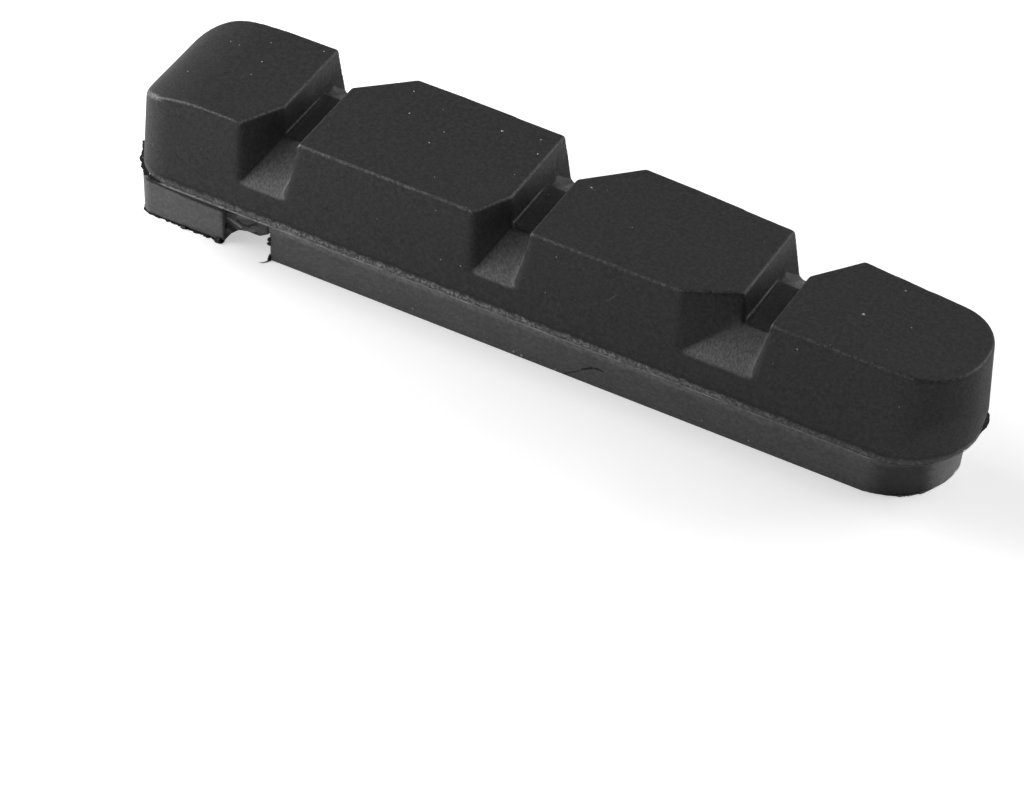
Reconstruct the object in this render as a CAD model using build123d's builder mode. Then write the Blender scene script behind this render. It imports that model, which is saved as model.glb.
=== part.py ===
from build123d import *
import os
from math import cos, radians, sin, sqrt, tan

# Replaceable rubber insert of a rim brake, one moulding.
# X runs from the square end to the round end, Y from the straight side to the bowed side,
# Z from the rail's underside up to the friction face. Lengths are in millimetres, angles in degrees.

# Friction block
pad_length = 70.0            # over the shoulder, square end to round end
pad_width = 12.4             # over the shoulder, straight side to the crest of the bow
block_height = 8.6           # shoulder to friction face
block_draft = 2.0            # walls lean in towards the friction face
bow_radius = 472.0           # bowed long side, at the shoulder
bow_crest_offset = 18.6      # square end to the crest of the bow
square_straight_radius = 3.75  # corner radii at the shoulder, square end first
square_bowed_radius = 3.9
round_straight_radius = 5.0
round_bowed_radius = 4.5
nose_length = 6.5            # elliptical lead-in of the square end, along the pad
nose_drop = 3.1              # and down its end wall
trim_radius = 6.0            # round end's foot, trimmed back on its straight side
trim_setback = 0.6           # trimmed foot, from the round end
trim_lean = 9.0              # trimmed wall leans out towards the friction face
edge_radius = 0.2            # worn edges of the friction face

# Drainage grooves, square end first
groove_pitch = 19.8
groove_middle_offset = 33.2  # square end to the middle groove's centre line
groove_width = 3.15          # at the friction face
groove_depth = 2.3
groove_draft = 10.0          # walls lean, so the groove narrows downwards
groove_floor_radius = 0.3

# Flared mouths: each groove widens at opposite corners, on the straight and on the bowed side
straight_flare_runs = (1.9, 1.6, 4.1)     # along the pad
straight_flare_reaches = (3.6, 3.1, 2.3)  # in from the side
bowed_flare_runs = (3.9, 3.9, 2.8)
bowed_flare_reaches = (3.6, 3.9, 3.7)
flare_depth = 5.7            # mouth's floor at the side wall, below the friction face
flare_lean = 17.0            # the mouth's inner end leans out towards its sloping floor

# Rail that slides into the holder: a head below a narrower neck
rail_head_height = 4.05
rail_head_draft = 4.0        # the head narrows towards its underside, but for its upright square end
lip_groove_height = 1.4      # between head and shoulder, for the holder's lips
lip_groove_depth = 1.5       # neck set in from the head
rail_straight_inset = 1.8    # head set in from the shoulder, on the straight side
rail_bowed_inset = 0.9       # from the crest of the bow, at the square end
rail_round_inset = 2.15
rail_bow_radius = 1430.0     # bowed side, nearly straight so that the rail slides
rail_square_radius = 1.1     # head's corners
rail_round_straight_radius = 6.0
rail_round_bowed_radius = 1.8

# Notch for the retaining pin, with a round bore on its centre line
notch_offset = 9.7           # square end to the notch's centre line
notch_width = 4.15
notch_bore_diameter = 6.0
notch_bore_rise = 0.6        # bore goes on into the block
web_setback = 0.5            # torn web behind the rail's straight side
web_thickness = 0.9
web_tear = ((0.0, 0.3), (0.25, 1.3), (0.45, 1.5), (0.7, 1.5), (0.88, 2.0), (1.0, 2.8))

# Shallow recesses in the rail's underside
stamp_offset = 4.6           # round recess, from the square end
stamp_diameter = 4.9
stamp_depth = 0.5
panel_gap = 3.8              # obround recess, from the notch
panel_length = 28.7
panel_width = 3.5
panel_depth = 0.6
panel_edge_gap = 2.0         # obround recess to the stepped well
well_diameter = 6.6
well_depth = 1.7
well_step_diameter = 5.2
well_step_depth = 0.9
window_lap = 0.3             # rectangular recess cuts into the well's rim
window_length = 5.8
window_width = 5.2
window_depth = 0.8
window_radius = 0.6
ridge_width = 0.6            # low ridge across the rectangular recess
ridge_height = 0.5

# Places that follow from the sizes above
square_x = -pad_length / 2
straight_y = -pad_width / 2
crest_x = square_x + bow_crest_offset
neck_top = rail_head_height + lip_groove_height
face_z = neck_top + block_height
wall_lean = tan(radians(block_draft))
groove_lean = tan(radians(groove_draft))
groove_xs = [square_x + groove_middle_offset + step * groove_pitch for step in (-1, 0, 1)]
notch_x = square_x + notch_offset
panel_x = notch_x + notch_width / 2 + panel_gap + panel_length / 2
well_x = panel_x + panel_length / 2 + panel_edge_gap + well_diameter / 2
window_x = well_x + well_diameter / 2 - window_lap + window_length / 2
cut_margin = 1.0             # how far cutting shapes stand outside the pad
cut_length = pad_width + 2 * cut_margin
side_view = Plane.XZ.offset(cut_length / 2)


def bow_y(x, crest, radius):
    return crest[1] - radius + sqrt(radius**2 - (x - crest[0]) ** 2)


def bowed_outline(start_x, end_x, side_y, crest, radius, square_radii, round_radii):
    # Straight side, square end, bowed side and round end, with two radii at each end
    middle_x = (start_x + end_x) / 2
    start_bow = (start_x, bow_y(start_x, crest, radius))
    end_bow = (end_x, bow_y(end_x, crest, radius))
    with BuildLine() as boundary:
        Polyline(start_bow, (start_x, side_y), (end_x, side_y), end_bow)
        ThreePointArc(end_bow, (middle_x, bow_y(middle_x, crest, radius)), start_bow)
    make_face(boundary.edges())
    for x, bow_end, radii in ((start_x, start_bow, square_radii), (end_x, end_bow, round_radii)):
        room = 0.98 * (bow_end[1] - side_y)
        share = min(1.0, room / sum(radii))
        fillet(vertices().sort_by_distance((x, side_y))[0], radii[0] * share)
        fillet(vertices().sort_by_distance(bow_end)[0], radii[1] * share)


def rail_outline(inset, overrun=0.0):
    round_radii = (rail_round_straight_radius, rail_round_bowed_radius)
    bowed_outline(
        square_x - overrun,
        pad_length / 2 - rail_round_inset - inset,
        straight_y + rail_straight_inset + inset,
        (square_x, pad_width / 2 - rail_bowed_inset - inset),
        rail_bow_radius - inset,
        (rail_square_radius, rail_square_radius),
        [max(radius - inset, edge_radius) for radius in round_radii],
    )


def flare_cut(mouth, run, reach):
    # The mouth's plane lies on the friction face at the pad's edge: X across the groove towards
    # its plain wall, Y in along the groove, Z up. The groove's own section, leaning out
    # downwards, is lofted to a deeper and wider one outside the pad.
    half = groove_width / 2
    lean = radians(flare_lean)
    inner_up = mouth.z_dir * cos(lean) + mouth.y_dir * sin(lean)
    inner_plane = Plane(
        mouth.origin + mouth.y_dir * reach,
        x_dir=mouth.x_dir,
        z_dir=mouth.x_dir.cross(inner_up),
    )
    outer_plane = Plane(
        mouth.origin - mouth.y_dir * cut_margin,
        x_dir=mouth.x_dir,
        z_dir=-mouth.y_dir,
    )
    level_y = reach - groove_depth * tan(lean)
    wall_y = -wall_lean * flare_depth
    slope = (flare_depth - groove_depth) / (level_y - wall_y)
    outer_depth = groove_depth + slope * (level_y + cut_margin)
    outer_x = half + run * (reach + cut_margin) / reach
    rise = cut_margin / groove_depth
    with BuildPart() as cutter:
        with BuildSketch(inner_plane):
            floor_half = half - groove_lean * groove_depth
            head_half = half + groove_lean * groove_depth * rise
            floor_drop = groove_depth / cos(lean)
            Polygon(
                (-floor_half, -floor_drop),
                (floor_half, -floor_drop),
                (head_half, floor_drop * rise),
                (-head_half, floor_drop * rise),
                align=None,
            )
        with BuildSketch(outer_plane):
            Polygon(
                (-outer_x, -outer_depth),
                (half - groove_lean * outer_depth, -outer_depth),
                (half + groove_lean * outer_depth * rise, outer_depth * rise),
                (-outer_x, outer_depth * rise),
                align=None,
            )
        loft(ruled=True)
    return cutter.part


flare_cuts = []
face_inset = wall_lean * block_height
face_crest = (crest_x, pad_width / 2 - face_inset)
for x, run, reach in zip(groove_xs, straight_flare_runs, straight_flare_reaches):
    edge = (x, straight_y + face_inset, face_z)
    flare_cuts.append(flare_cut(Plane(edge, x_dir=(1, 0, 0)), run, reach))
for x, run, reach in zip(groove_xs, bowed_flare_runs, bowed_flare_reaches):
    edge = (x, bow_y(x + groove_width / 2 + run, face_crest, bow_radius - face_inset), face_z)
    flare_cuts.append(flare_cut(Plane(edge, x_dir=(-1, 0, 0)), run, reach))

with BuildPart() as brake_pad:
    # Friction block, drafted from its shoulder to the friction face
    with BuildSketch(Plane.XY.offset(neck_top)):
        bowed_outline(
            square_x,
            pad_length / 2,
            straight_y,
            (crest_x, pad_width / 2),
            bow_radius,
            (square_straight_radius, square_bowed_radius),
            (round_straight_radius, round_bowed_radius),
        )
    extrude(amount=block_height, taper=block_draft)

    # Round end's foot, trimmed in a cone that starts from the straight side
    trim_x = pad_length / 2 - trim_setback - trim_radius
    trim_axis = Axis((trim_x, straight_y + trim_radius, 0), (0, 0, 1))
    trim_section = Plane(trim_axis.position + (0, 0, neck_top), x_dir=(0, -1, 0), z_dir=(-1, 0, 0))
    trim_growth = tan(radians(trim_lean)) * block_height
    with BuildSketch(trim_section):
        Polygon(
            (trim_radius, 0),
            (trim_radius + trim_growth + cut_margin, 0),
            (trim_radius + trim_growth + cut_margin, block_height),
            (trim_radius + trim_growth, block_height),
            align=None,
        )
    revolve(axis=trim_axis, revolution_arc=180, mode=Mode.SUBTRACT)

    # Elliptical lead-in from the square end's wall to the friction face
    nose_x = square_x + wall_lean * (block_height - nose_drop)
    nose_z = face_z - nose_drop
    with BuildSketch(side_view):
        with BuildLine():
            EllipticalCenterArc((nose_x + nose_length, nose_z), nose_length, nose_drop, 90, arc_size=90)
            Polyline(
                (nose_x, nose_z),
                (nose_x - cut_margin, nose_z),
                (nose_x - cut_margin, face_z + cut_margin),
                (nose_x + nose_length, face_z + cut_margin),
                (nose_x + nose_length, face_z),
            )
        make_face()
    extrude(amount=-cut_length, mode=Mode.SUBTRACT)

    # Three grooves straight across, then their flared mouths
    floor_half = groove_width / 2 - groove_lean * groove_depth
    head_half = groove_width / 2 + groove_lean * cut_margin
    with BuildSketch(side_view):
        with Locations(*[(x, face_z) for x in groove_xs]):
            Polygon(
                (-floor_half, -groove_depth),
                (floor_half, -groove_depth),
                (head_half, cut_margin),
                (-head_half, cut_margin),
                align=None,
            )
        fillet(vertices().group_by(Axis.Y)[0], groove_floor_radius)
    extrude(amount=-cut_length, mode=Mode.SUBTRACT)
    add(flare_cuts, mode=Mode.SUBTRACT)
    face_edges = edges().group_by(Axis.Z)[-1]
    nose_end = nose_x + nose_length + edge_radius
    worn_edges = [edge for edge in face_edges if edge.bounding_box().min.X > nose_end]
    fillet(worn_edges, edge_radius)

    # Rail: the neck between the holder's lips, then the drafted head, cut off upright at its square end
    head_shrink = tan(radians(rail_head_draft)) * rail_head_height
    end_overrun = rail_square_radius + head_shrink
    with BuildSketch(Plane.XY.offset(rail_head_height)):
        rail_outline(lip_groove_depth)
    extrude(amount=lip_groove_height)
    with BuildSketch(Plane.XY.offset(rail_head_height)):
        rail_outline(0, end_overrun)
    extrude(amount=-rail_head_height, taper=rail_head_draft)
    with BuildSketch(side_view):
        with Locations((square_x, 0)):
            Rectangle(end_overrun + cut_margin, rail_head_height, align=(Align.MAX, Align.MIN))
    extrude(amount=-cut_length, mode=Mode.SUBTRACT)
    end_edges = edges().group_by(Axis.X)[0]
    fillet(end_edges.filter_by_position(Axis.Z, 0, rail_head_height, (False, False)), rail_square_radius)

    # Pin notch right across the rail, its bore, and the torn web left in its mouth
    with BuildSketch(side_view):
        with Locations((notch_x, 0)):
            Rectangle(notch_width, neck_top, align=(Align.CENTER, Align.MIN))
    extrude(amount=-cut_length, mode=Mode.SUBTRACT)
    web_y = straight_y + rail_straight_inset + head_shrink + web_setback
    with BuildSketch(Plane.XZ.offset(-web_y)):
        with BuildLine():
            tear = [(notch_x + (across - 0.5) * notch_width, height) for across, height in web_tear]
            Polyline(*tear, (tear[-1][0], neck_top), (tear[0][0], neck_top), close=True)
        make_face()
    extrude(amount=-web_thickness)
    with BuildSketch(Plane.XY):
        with Locations((notch_x, 0)):
            Circle(notch_bore_diameter / 2)
    extrude(amount=neck_top + notch_bore_rise, mode=Mode.SUBTRACT)

    # Shallow recesses along the rail's underside
    with BuildSketch(Plane.XY):
        with Locations((square_x + stamp_offset, 0)):
            Circle(stamp_diameter / 2)
    extrude(amount=stamp_depth, mode=Mode.SUBTRACT)
    with BuildSketch(Plane.XY):
        with Locations((panel_x, 0)):
            SlotOverall(panel_length, panel_width)
    extrude(amount=panel_depth, mode=Mode.SUBTRACT)
    with BuildSketch(Plane.XY):
        with Locations((well_x, 0)):
            Circle(well_diameter / 2)
    extrude(amount=well_depth, mode=Mode.SUBTRACT)
    with BuildSketch(Plane.XY.offset(well_depth)):
        with Locations((well_x, 0)):
            Circle(well_step_diameter / 2)
    extrude(amount=well_step_depth, mode=Mode.SUBTRACT)
    with BuildSketch(Plane.XY):
        with Locations((window_x, 0)):
            RectangleRounded(window_length, window_width, window_radius)
    extrude(amount=window_depth, mode=Mode.SUBTRACT)
    with BuildSketch(Plane.XY.offset(window_depth)):
        with Locations((window_x, 0)):
            Rectangle(window_length, ridge_width)
    extrude(amount=-ridge_height)

os.makedirs("parts", exist_ok=True)
brake_pad.part.label = "brake_pad"
export_step(brake_pad.part, "parts/brake_pad.step")
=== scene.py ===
import math
import bmesh
import bpy
from mathutils import Matrix, Vector
from mathutils.bvhtree import BVHTree


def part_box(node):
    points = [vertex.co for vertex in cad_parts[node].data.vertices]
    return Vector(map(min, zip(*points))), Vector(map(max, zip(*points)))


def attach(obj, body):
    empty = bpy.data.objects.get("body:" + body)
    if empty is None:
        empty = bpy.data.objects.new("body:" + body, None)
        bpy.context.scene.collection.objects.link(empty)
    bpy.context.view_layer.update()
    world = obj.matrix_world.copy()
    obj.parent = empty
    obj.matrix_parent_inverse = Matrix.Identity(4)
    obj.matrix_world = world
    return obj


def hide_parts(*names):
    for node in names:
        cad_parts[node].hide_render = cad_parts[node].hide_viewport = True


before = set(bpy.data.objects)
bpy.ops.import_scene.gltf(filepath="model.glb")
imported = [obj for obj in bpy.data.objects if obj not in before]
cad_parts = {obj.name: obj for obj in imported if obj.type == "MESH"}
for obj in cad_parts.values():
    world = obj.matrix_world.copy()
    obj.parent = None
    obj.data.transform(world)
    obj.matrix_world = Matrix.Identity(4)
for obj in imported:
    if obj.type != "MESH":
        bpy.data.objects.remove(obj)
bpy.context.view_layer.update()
mm = 0.001
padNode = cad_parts["brake_pad"]
padLow, padHigh = (Vector(corner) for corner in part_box("brake_pad"))
bpy.context.scene.view_settings.view_transform = "Standard"
print("frame loaded, pad size in mm:", [round(side / mm, 2) for side in padHigh - padLow])


# node tree helpers
def addNode(tree, kind, **settings):
    node = tree.nodes.new(kind)
    for key, value in settings.items():
        setattr(node, key, value)
    return node


def feed(tree, socket, value):
    if isinstance(value, bpy.types.NodeSocket):
        tree.links.new(value, socket)
    elif value is not None:
        socket.default_value = value


def number(tree, operation, first, second=None, third=None, clamp=False):
    node = addNode(tree, "ShaderNodeMath", operation=operation, use_clamp=clamp)
    for socket, value in zip(node.inputs, (first, second, third)):
        feed(tree, socket, value)
    return node.outputs[0]


def times(tree, first, *others):
    for other in others:
        first = number(tree, "MULTIPLY", first, other)
    return first


def vector(tree, operation, first, second=None, output="Vector"):
    node = addNode(tree, "ShaderNodeVectorMath", operation=operation)
    scaleOnly = operation == "SCALE"
    feed(tree, node.inputs[0], first)
    feed(tree, node.inputs["Scale"] if scaleOnly else node.inputs[1], second)
    return node.outputs[output]


def ramp(tree, value, low, high, start=0.0, end=1.0):
    node = addNode(tree, "ShaderNodeMapRange", interpolation_type="SMOOTHSTEP")
    for socket, given in zip(node.inputs, (value, low, high, start, end)):
        feed(tree, socket, given)
    return node.outputs[0]


def noise(tree, place, scale, detail=2.0, roughness=0.5):
    node = addNode(tree, "ShaderNodeTexNoise")
    feed(tree, node.inputs["Vector"], place)
    feed(tree, node.inputs["Scale"], scale)
    feed(tree, node.inputs["Detail"], detail)
    feed(tree, node.inputs["Roughness"], roughness)
    return node.outputs[0]


def split(tree, value):
    node = addNode(tree, "ShaderNodeSeparateXYZ")
    feed(tree, node.inputs[0], value)
    return node.outputs


def blendColour(tree, amount, under, over):
    node = addNode(tree, "ShaderNodeMix", data_type="RGBA")
    feed(tree, node.inputs[0], amount)
    feed(tree, node.inputs[6], under)
    feed(tree, node.inputs[7], over)
    return node.outputs[2]


def grey(level, warmth=0.0):
    return (level * (1 + warmth), level, level * (1 - warmth), 1.0)


def newGroup(name, inputs, outputs, treeKind="ShaderNodeTree"):
    tree = bpy.data.node_groups.new(name, treeKind)
    for way, sockets in (("INPUT", inputs), ("OUTPUT", outputs)):
        for label, kind in sockets:
            tree.interface.new_socket(label, in_out=way, socket_type="NodeSocket" + kind)
    return tree, addNode(tree, "NodeGroupInput").outputs, addNode(tree, "NodeGroupOutput").inputs


def useGroup(tree, group, **values):
    node = addNode(tree, "ShaderNodeGroup", node_tree=group)
    for label, value in values.items():
        feed(tree, node.inputs[label], value)
    return node.outputs


def newMaterial(name):
    material = bpy.data.materials.new(name)
    material.use_nodes = True
    tree = material.node_tree
    shader = tree.nodes["Principled BSDF"]
    coords = addNode(tree, "ShaderNodeTexCoord").outputs["Object"]
    return material, tree, shader, vector(tree, "SCALE", coords, 1 / mm)  # places in mm


def addBump(tree, shader, height, strength, distance):
    bump = addNode(tree, "ShaderNodeBump")
    bump.inputs["Strength"].default_value = strength
    bump.inputs["Distance"].default_value = distance
    feed(tree, bump.inputs["Height"], height)
    feed(tree, shader.inputs["Normal"], bump.outputs[0])


# shared effects
effects = {
    "coarseStep": 0.32,  # coarse grains per fine one
    "coarseHeight": 0.6,
    "fineRange": (0.34, 0.7),
    "patchRange": (0.3, 0.7),
    "strokeGrain": 7.0,  # per mm
    "strokeCore": 0.35,  # share of the width that is marked in full
    "speckleEdge": 0.78,
    "speckleCover": 0.5,  # by which more cover lowers the edge
    "speckleSoft": 0.14,
    "finRange": (0.34, 0.66),  # of the noise that makes a fin narrow or wide
}


def makeGrainGroup():
    tree, given, out = newGroup(
        "mouldedGrain",
        [("Place", "Vector"), ("Pitch", "Float"), ("Cloud", "Float")],
        [("Fine", "Float"), ("Patchy", "Float"), ("Height", "Float")])
    perMm = number(tree, "DIVIDE", 1.0, given["Pitch"])
    fine = noise(tree, given["Place"], perMm, detail=3.0, roughness=0.62)
    coarse = noise(tree, given["Place"], times(tree, perMm, effects["coarseStep"]))
    perCloud = number(tree, "DIVIDE", 1.0, given["Cloud"])
    patchy = noise(tree, given["Place"], perCloud, detail=3.0, roughness=0.6)
    feed(tree, out["Fine"], ramp(tree, fine, *effects["fineRange"]))
    feed(tree, out["Patchy"], ramp(tree, patchy, *effects["patchRange"]))
    feed(tree, out["Height"], number(tree, "ADD", times(tree, coarse, effects["coarseHeight"]), fine))
    return tree


def makeStrokeGroup():
    tree, given, out = newGroup(
        "scratchStroke",
        [("Place", "Vector"), ("Start", "Vector"), ("End", "Vector"), ("Width", "Float")],
        [("Mask", "Float")])
    run = vector(tree, "SUBTRACT", given["End"], given["Start"])
    offset = vector(tree, "SUBTRACT", given["Place"], given["Start"])
    along = number(tree, "DIVIDE", vector(tree, "DOT_PRODUCT", offset, run, "Value"),
                   vector(tree, "DOT_PRODUCT", run, run, "Value"), clamp=True)
    nearest = vector(tree, "SCALE", run, along)
    away = vector(tree, "DISTANCE", offset, nearest, "Value")
    stray = number(tree, "SUBTRACT", noise(tree, given["Place"], effects["strokeGrain"]), 0.5)
    ragged = times(tree, stray, given["Width"])
    core = times(tree, given["Width"], effects["strokeCore"])
    feed(tree, out["Mask"], ramp(tree, number(tree, "ADD", away, ragged), given["Width"], core))
    return tree


def makeSpeckleGroup():
    tree, given, out = newGroup(
        "paleSpeckle",
        [("Place", "Vector"), ("Pitch", "Float"), ("Cover", "Float")],
        [("Mask", "Float")])
    perMm = number(tree, "DIVIDE", 1.0, given["Pitch"])
    grain = noise(tree, given["Place"], perMm, detail=4.0, roughness=0.7)
    lowered = times(tree, given["Cover"], effects["speckleCover"])
    edge = number(tree, "SUBTRACT", effects["speckleEdge"], lowered)
    feed(tree, out["Mask"], ramp(tree, grain, edge, number(tree, "ADD", edge, effects["speckleSoft"])))
    return tree


grainGroup = makeGrainGroup()
strokeGroup = makeStrokeGroup()
speckleGroup = makeSpeckleGroup()
print("shared effects ready")


# geometry node helpers
def newTree(name, inputs):
    through = ("Geometry", "Geometry")
    return newGroup(name, [through, *inputs], [through], "GeometryNodeTree")


def geoStep(tree, kind, values, **settings):
    made = addNode(tree, kind, **settings)
    for label, value in values.items():
        feed(tree, made.inputs[label], value)
    return made.outputs


# sockets of the random value node: limits and seed, then the output
randomSockets = {
    "FLOAT_VECTOR": ((0, 1, 8), 0),
    "FLOAT": ((2, 3, 8), 1),
    "BOOLEAN": ((6, 8), 3),
}


def randomValue(tree, kind, *limitsAndSeed):
    made = addNode(tree, "FunctionNodeRandomValue", data_type=kind)
    places, output = randomSockets[kind]
    for place, value in zip(places, limitsAndSeed):
        feed(tree, made.inputs[place], value)
    return made.outputs[output]


def bakeModifiers(piece):
    graph = bpy.context.evaluated_depsgraph_get()
    mesh = bpy.data.meshes.new_from_object(piece.evaluated_get(graph))
    piece.modifiers.clear()
    piece.data = mesh
    return mesh


def addTree(piece, tree, values):
    grow = piece.modifiers.new(tree.name, "NODES")
    grow.node_group = tree
    for socket in tree.interface.items_tree:
        if socket.in_out == "INPUT" and socket.name in values:
            grow[socket.identifier] = values[socket.name]


def linkObject(name, data):
    made = bpy.data.objects.new(name, data)
    bpy.context.scene.collection.objects.link(made)
    return made


def ridePad(piece):
    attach(piece, "root")
    print(piece.name, "ready:", len(piece.data.polygons), "faces")


def pick(settings, *labels):
    return {label.capitalize(): settings[label] for label in labels}


def growPiece(name, mesh, tree, values, material):
    piece = linkObject(name, mesh)
    addTree(piece, tree, dict(values, Material=material))
    bakeModifiers(piece)
    ridePad(piece)


# pad body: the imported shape, merged, rounded and shaded
padBody = {
    "mergeGap": 0.0005 * mm,
    "flatAngle": 0.25,
    "downTurn": -0.99,  # normals of faces that look down
    "shoulderFrom": 1 / 3,  # of the height; the shoulder lies above it
    "meshPitch": 0.09 * mm,
    "meshPasses": 2,  # blur passes over all of the new mesh
    "softPasses": 5,  # more of them to round the block's edges
    "softFront": (3.0 * mm, -1.0 * mm),  # across the pad, up to full strength at the front
    "softBack": 0.5,  # strength left at the back
    "flarePasses": 20,  # and more on the upright edges of the front flares
    "flareDepth": 3.4 * mm,
    "softFrom": (0.5 * mm, 1.2 * mm),  # above the shoulder
    "faceBand": 0.7 * mm,  # below the friction face, left out of the flare passes
    "keptFaces": 0.125,
    "normalWeight": 60,
    "flareTop": 1.8 * mm,  # flare floors lie at least this far below the friction face
    "wornDepth": 0.05 * mm,
    "noseLength": 6.6 * mm,
    "roundLength": 10 * mm,
}


def mergedPad():
    shape = bmesh.new()
    shape.from_mesh(padNode.data)
    bmesh.ops.remove_doubles(shape, verts=shape.verts, dist=padBody["mergeGap"])
    bmesh.ops.dissolve_degenerate(shape, edges=shape.edges, dist=padBody["mergeGap"])
    bmesh.ops.dissolve_limit(shape, angle_limit=math.radians(padBody["flatAngle"]),
                             verts=shape.verts, edges=shape.edges)
    shape.normal_update()
    return shape


def shoulderHeight(shape):
    areas = {}
    for face in shape.faces:
        middle = face.calc_center_median()
        facesDown = face.normal.z < padBody["downTurn"]
        if facesDown and middle.z > padHigh.z * padBody["shoulderFrom"]:
            level = round(middle.z / mm, 2)
            areas[level] = areas.get(level, 0) + face.calc_area()
    return max(areas, key=areas.get) * mm


padShape = mergedPad()
shoulder = shoulderHeight(padShape)
print("shoulder height in mm:", round(shoulder / mm, 2))


# rubber of the pad, with its worn edges under painted highlights, a painted glint in the grooves, pale flare
# floors, rail sides painted lighter with a painted shade and rim light at the rounded end, seam speckle under
# a painted crease shade, painted shadows at the stub's joint and in the notch, and scratches
rubberLook = {
    "block": (0.002, 0.022),
    # the rail's and the stub's upright sides are painted lighter than the block: a painted reflection of the
    # bright floor
    "railSide": 0.135,
    "railMottle": 0.7,  # weakest share of the tone
    "railStreak": 0.85,
    "stubSide": 0.158,
    "stubEnds": (-26.9, -27.6),  # the stub's side begins past the notch
    # round the rounded end the rail's sides get a painted shade in the middle and a painted rim light at the
    # far end
    "roundEndShadeAndRim": [((27.3, 29.3), 0.05), ((31.2, 32.3), 0.25)],  # along the pad, tone
    "flareFloor": (0.06, 0.17),
    "flareFall": (6.4, 3.6),  # above the shoulder, from the inner end outwards
    "flareTop": 0.4,  # share of the flare floor's tone left at its inner, higher end
    "patches": (0.15, 0.016),  # amount, tone
    # streaks per mm along, across and up
    "wallStreaks": (2.6, 2.6, 0.3),
    "railStreaks": (0.5, 3.0, 3.6),
    "flareStreaks": (8.0, 4.0, 4.0),
    "streakRange": (0.3, 0.7),
    "streakShare": 0.25,
    # chafed edges: real wear and a painted highlight, and a painted glint in the grooves' corners
    "edgeWearAndHighlight": 0.15,
    "edgeBand": (0.5, 0.25),  # below the friction face
    "noseBand": (3.4, 2.9),
    "noseFade": 0.8,
    # the wear is also a painted highlight: strongest on edges facing the front, weaker at the back and at the
    # round end
    "edgeTurn": (-0.05, -0.3),  # of the normal, towards the front
    "edgeBack": 0.25,  # share of the wear left at the back
    "edgeRoundEnd": 0.6,  # and at the round end
    "edgeSpeckle": (0.22, 0.65, 0.2),  # pitch, cover, weakest share
    "glint": 0.2,
    "glintSpeckle": (0.25, 0.8, 0.4),
    # seam
    "seamBand": 0.62,
    "seamWave": (1.5, 0.5),  # per mm, height
    "seamEdge": (0.12, -0.34),
    "seamFoot": (-0.3, -0.2),
    "seamTurn": (-0.9, -0.6),  # of the normal: not the shoulder's underside
    "seamNose": (-3, 4, 0.45),  # from the nose's end, and the share left before it
    "seamRoundEnd": (26.0, 8.0, 0.4),
    "seamDull": 0.06,
    "seamDullShare": (0.5, 0.9),
    "seamPale": 0.26,
    "seamWarmth": 0.02,
    "seamSpeckle": (0.27, 0.68, 0.0),
    "seamClump": 0.8,  # per mm
    "clumpRange": (0.36, 0.6, 0.5),
    # painted shade in the crease above the seam band
    "creaseAbove": (0.45, 0.12),
    "creaseBelow": (-0.05, 0.1),
    "creaseShade": (0.9, 0.0005),  # amount, tone
    # the rail's side just below the seam is painted lighter: it softens the band's lower edge and is painted
    # light over the shade under the shoulder's overhang
    "underSeamLight": 0.19,
    "underHeight": (2.9, 3.45),
    "underStart": (-23.3, -22.8),
    "underSpeckle": (0.3, 0.7, 0.35),
    # surface
    "grainPitch": 0.12,
    "grainCloud": 5.0,
    "mottlePitch": 0.3,
    "mottleCloud": 2.0,
    "bumpHeight": 0.018 * mm,
    "bumpStrength": 0.9,
    "roughness": (0.48, 0.68),
    "cornerRoughness": 0.3,  # more of it in the grooves' corners
    "specular": 0.52,
    "sheen": 0.04,
    "sheenRoughness": 0.3,
    # start, end, width, tone
    "strokes": [
        ((-18.63, -4.17, 0.81), (-17.93, -4.12, 0.07), 0.06, 0.16),
        ((-3.58, -4.36, 3.45), (-2.79, -4.26, 2.04), 0.05, 0.14),
        ((6.4, -6.0, 10.5), (7.2, -6.0, 11.4), 0.06, 0.045),
        ((0.9, 1.3, 14.05), (1.6, 1.0, 14.05), 0.06, 0.05),
        # dark nick in the rail's side
        ((2.4, -4.12, 0.1), (3.8, -4.19, 1.1), 0.08, 0.012),
        ((4.0, -4.2, 1.35), (4.75, -4.25, 1.86), 0.13, 0.001),
        ((4.75, -4.25, 1.86), (5.4, -4.26, 2.05), 0.13, 0.001),
        ((5.4, -4.26, 2.05), (5.75, -4.27, 1.95), 0.1, 0.001),
        # painted shadow in the open joint under the flash at the stub
        ((-34.3, -4.38, 3.58), (-31.2, -4.37, 3.43), 0.24, 0.0),
        ((-31.2, -4.37, 3.43), (-27.5, -4.37, 3.36), 0.32, 0.0),
        # torn web in the notch: a darker broad tone, painted shadows in its gaps and under its flakes, and
        # paler flakes and lobes
        ((-27.3, -3.3, 2.6), (-24.0, -3.3, 2.6), 0.75, 0.05),
        ((-27.3, -3.3, 1.7), (-24.0, -3.3, 1.7), 0.75, 0.05),
        ((-27.6, -3.62, 2.77), (-26.66, -3.62, 2.9), 0.24, 0.001),
        ((-27.5, -3.62, 1.55), (-26.8, -3.62, 1.2), 0.42, 0.001),
        ((-27.43, -3.62, 2.21), (-26.19, -3.62, 1.73), 0.15, 0.25),
        ((-26.38, -3.62, 2.67), (-25.38, -3.62, 3.0), 0.26, 0.12),
        ((-26.47, -3.62, 2.24), (-26.0, -3.62, 2.03), 0.15, 0.001),
        ((-26.0, -3.62, 2.03), (-25.46, -3.62, 2.12), 0.15, 0.001),
        ((-25.46, -3.62, 2.12), (-24.73, -3.62, 2.67), 0.15, 0.001),
        ((-25.82, -3.62, 1.5), (-24.9, -3.62, 1.85), 0.22, 0.12),
        ((-25.0, -3.62, 1.6), (-24.75, -3.62, 1.75), 0.14, 0.001),
        ((-23.78, -3.62, 2.83), (-23.73, -3.62, 2.29), 0.14, 0.001),
    ],
}


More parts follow.
